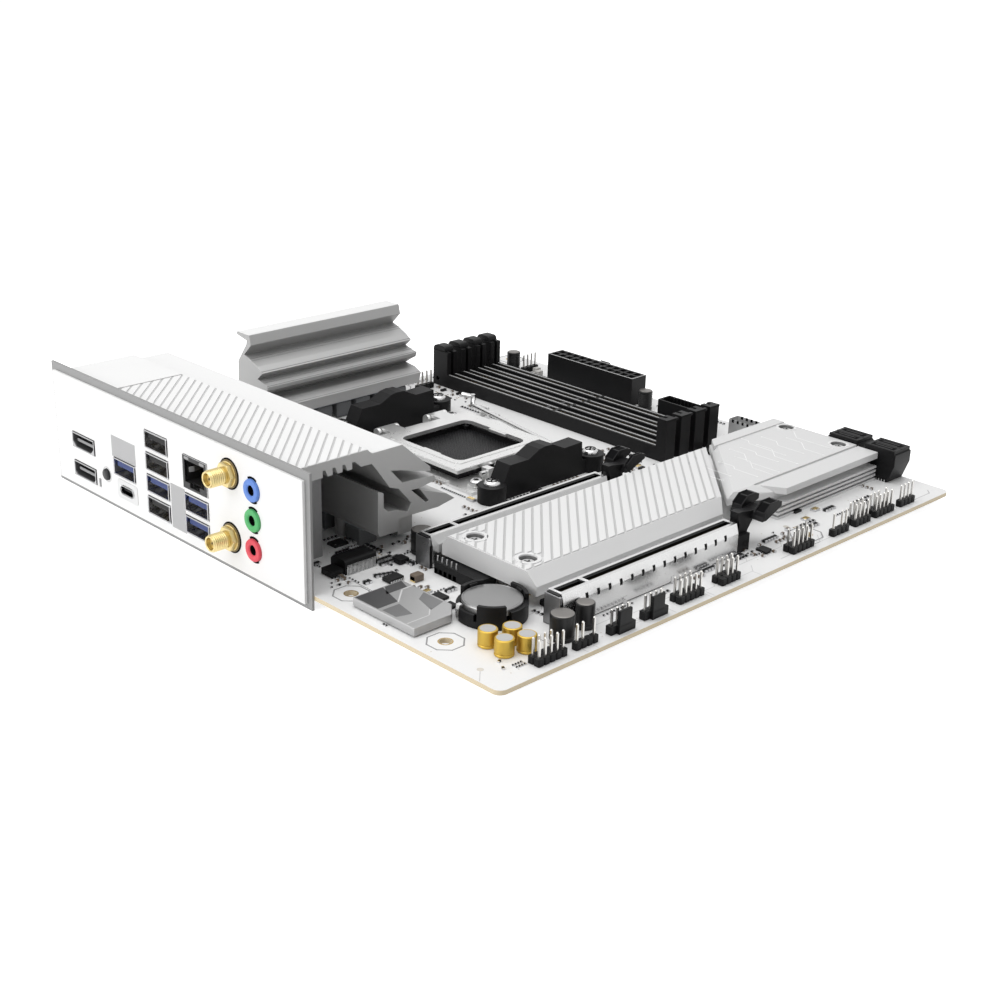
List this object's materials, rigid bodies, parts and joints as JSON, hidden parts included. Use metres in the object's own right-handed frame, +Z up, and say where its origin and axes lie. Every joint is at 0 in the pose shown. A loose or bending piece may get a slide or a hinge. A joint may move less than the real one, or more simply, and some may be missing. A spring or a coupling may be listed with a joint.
{
  "type": "computer motherboard",
  "caption": "Compact white computer main board with a processor socket, memory and card slots, a rear port panel and silver and white heatsinks.",
  "frame": {"origin": "axis of mounting hole B, at the board's underside, where the case stand-off meets it", "axes": "+X from the rear port edge to the front edge, +Y from the header edge towards the top edge, +Z up out of the component side"},
  "size_m": [0.2549, 0.2466, 0.0477],
  "materials": {
    "board_white": "satin white solder mask",
    "backplate_black": "black coated steel",
    "black_plastic": "moulded black plastic",
    "socket_plastic": "moulded socket body with contact field",
    "socket_steel": "bright rolled stainless steel",
    "lever_steel": "drawn spring steel wire",
    "screw_steel": "nickel plated screws",
    "shield_grey": "satin grey coated steel",
    "panel_white": "matt white coat",
    "port_steel": "tin plated sheet",
    "antenna_gold": "gold plated brass",
    "jack_grey": "moulded grey block",
    "ring_blue": "coloured collar",
    "ring_green": "coloured collar",
    "ring_red": "coloured collar",
    "button_black": "moulded button",
    "heatsink_silver": "bead blasted silver with a white top",
    "heatsink_white": "white coated aluminium",
    "pad_grey": "soft thermal pad",
    "choke_grey": "pressed ferrite",
    "chip_black": "moulded chip packages",
    "slot_black": "moulded black connector",
    "latch_black": "moulded black latch",
    "standoff_brass": "turned brass",
    "pin_silver": "tin plated pins",
    "cell_steel": "steel coin cell can",
    "capacitor_gold": "sleeved capacitors, gold and black",
    "sound_shield_steel": "formed sheet cover"
  },
  "bodies": {
    "board": {"pcb": "board_white", "cpu_backplate": "backplate_black", "socket_base": "socket_plastic", "socket_frame": "socket_steel", "cooler_bracket_near": "black_plastic", "cooler_bracket_far": "black_plastic", "bracket_screws": "screw_steel", "socket_screws": "screw_steel", "io_shield": "shield_grey", "io_panel": "panel_white", "display_port": "port_steel", "hdmi_port": "port_steel", "usb_stack_type_c": "port_steel", "usb_stack_quad": "port_steel", "lan_usb_stack": "port_steel", "antenna_jacks": "antenna_gold", "antenna_nuts": "antenna_gold", "wireless_module": "port_steel", "audio_jack_block": "jack_grey", "jack_ring_blue": "ring_blue", "jack_ring_green": "ring_green", "jack_ring_red": "ring_red", "button_switch": "black_plastic", "module_connector": "black_plastic", "io_heatsink": "heatsink_silver", "top_heatsink": "heatsink_silver", "thermal_pads": "pad_grey", "power_chokes": "choke_grey", "board_chips": "chip_black", "heatsink_screws": "screw_steel", "dimm_slot_1": "slot_black", "dimm_slot_2": "slot_black", "dimm_slot_3": "slot_black", "dimm_slot_4": "slot_black", "main_power_connector": "slot_black", "cpu_power_connector": "slot_black", "pcie_slots": "slot_black", "pcie_covers": "port_steel", "m2_heatsink": "heatsink_white", "m2_connector": "black_plastic", "chipset_heatsink": "heatsink_white", "sink_standoffs": "standoff_brass", "sink_screws": "screw_steel", "sata_ports": "slot_black", "front_usb_headers": "black_plastic", "pin_headers": "black_plastic", "header_pins": "pin_silver", "battery_holder": "black_plastic", "battery_cell": "cell_steel", "capacitors": "capacitor_gold", "sound_shield": "sound_shield_steel"},
    "load_plate": {"load_plate": "socket_steel"},
    "load_lever": {"load_lever": "lever_steel"},
    "update_button": {"update_button": "button_black"},
    "dimm_latch_1": {"dimm_latch_1": "latch_black"},
    "dimm_latch_2": {"dimm_latch_2": "latch_black"},
    "dimm_latch_3": {"dimm_latch_3": "latch_black"},
    "dimm_latch_4": {"dimm_latch_4": "latch_black"},
    "pcie_latch_upper": {"pcie_latch_upper": "latch_black"},
    "pcie_latch_lower": {"pcie_latch_lower": "latch_black"}
  },
  "joints": [
    {"name": "load_plate_hinge", "type": "hinge", "parent": "board", "child": "load_plate", "pos_m": [0.11774, 0.1528, 0.0056], "axis": [-1, 0, 0], "range_deg": [0, 100]},
    {"name": "load_lever_hinge", "type": "hinge", "parent": "board", "child": "load_lever", "pos_m": [0.11774, 0.0911, 0.0052], "axis": [1, 0, 0], "range_deg": [0, 130]},
    {"name": "update_button_travel", "type": "slide", "parent": "board", "child": "update_button", "axis": [1, 0, 0], "range_m": [0, 0.001], "stiffness_N_per_m": 300},
    {"name": "dimm_latch_1_hinge", "type": "hinge", "parent": "board", "child": "dimm_latch_1", "pos_m": [0.17514, 0.1952, 0.0048], "axis": [-1, 0, 0], "range_deg": [0, 25]},
    {"name": "dimm_latch_2_hinge", "type": "hinge", "parent": "board", "child": "dimm_latch_2", "pos_m": [0.18429, 0.1952, 0.0048], "axis": [-1, 0, 0], "range_deg": [0, 25]},
    {"name": "dimm_latch_3_hinge", "type": "hinge", "parent": "board", "child": "dimm_latch_3", "pos_m": [0.19344, 0.1952, 0.0048], "axis": [-1, 0, 0], "range_deg": [0, 25]},
    {"name": "dimm_latch_4_hinge", "type": "hinge", "parent": "board", "child": "dimm_latch_4", "pos_m": [0.20259, 0.1952, 0.0048], "axis": [-1, 0, 0], "range_deg": [0, 25]},
    {"name": "pcie_latch_upper_hinge", "type": "hinge", "parent": "board", "child": "pcie_latch_upper", "pos_m": [0.12554, 0.047, 0.0048], "axis": [0, 1, 0], "range_deg": [0, 20]},
    {"name": "pcie_latch_lower_hinge", "type": "hinge", "parent": "board", "child": "pcie_latch_lower", "pos_m": [0.12554, -0.01396, 0.0048], "axis": [0, 1, 0], "range_deg": [0, 20]}
  ]
}
